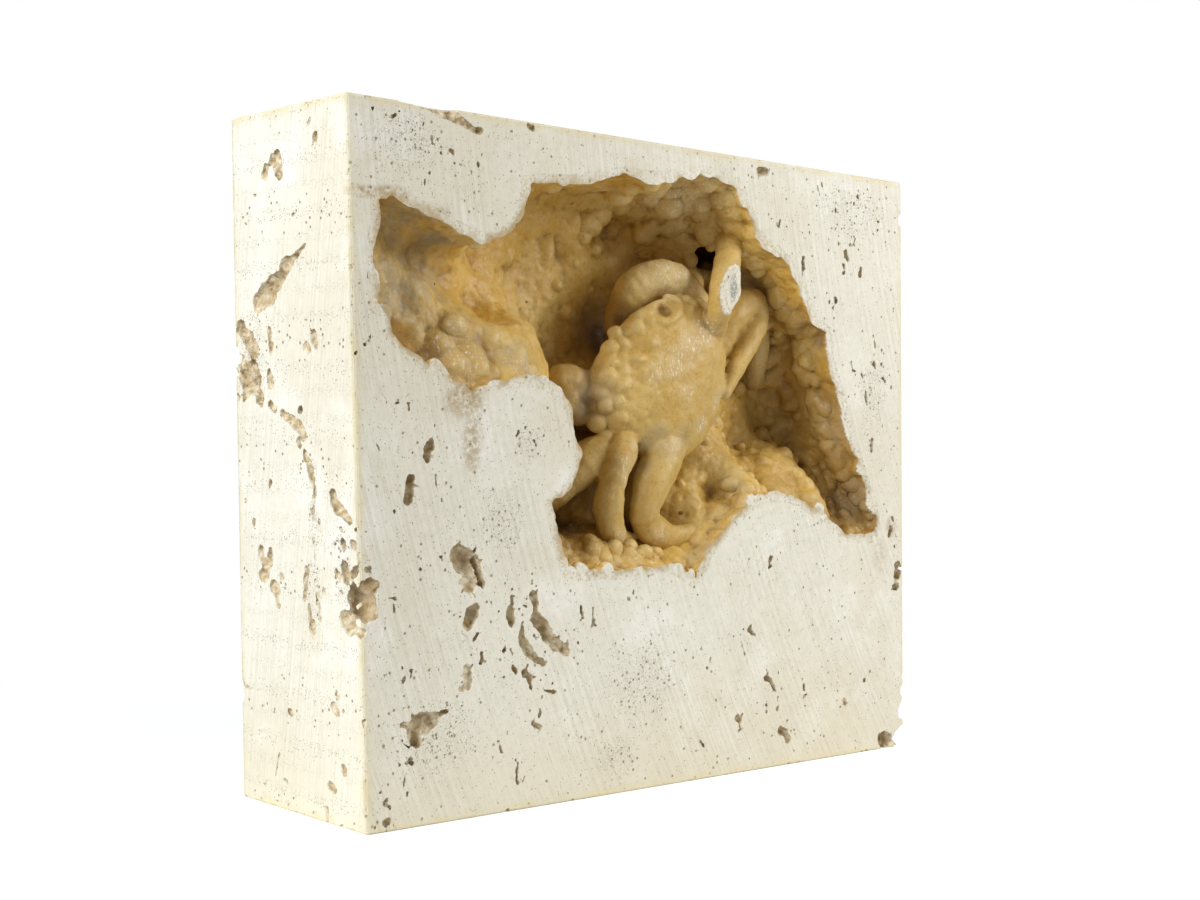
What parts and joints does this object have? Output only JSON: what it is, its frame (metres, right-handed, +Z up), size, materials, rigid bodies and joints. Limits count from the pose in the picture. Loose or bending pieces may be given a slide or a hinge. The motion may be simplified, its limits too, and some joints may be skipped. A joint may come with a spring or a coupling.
{
  "type": "fossil crab in travertine",
  "caption": "Crab coated in honey-coloured calcite, standing in a crystal-lined hollow of a sawn travertine block.",
  "frame": {"origin": "middle of the box round the block, on the plane it stands on", "axes": "+X along the sawn front, +Y from the front into the stone, +Z up"},
  "size_m": [0.1918, 0.0518, 0.16],
  "materials": {
    "travertine": "sawn, matt, with fine saw lines and open pores",
    "calcite": "smooth lumpy honey calcite with a soft gloss",
    "crab_coating": "pale honey calcite coat with a soft gloss"
  },
  "bodies": {
    "root": {"travertine_block": "travertine", "calcite_crust": "calcite", "carapace": "crab_coating", "right_claw": "crab_coating", "left_claw": "crab_coating", "right_leg_1": "crab_coating", "right_leg_2": "crab_coating", "right_leg_3": "crab_coating", "left_leg_1": "crab_coating", "left_leg_2": "crab_coating", "left_leg_3": "crab_coating", "left_leg_4": "crab_coating"}
  },
  "joints": []
}
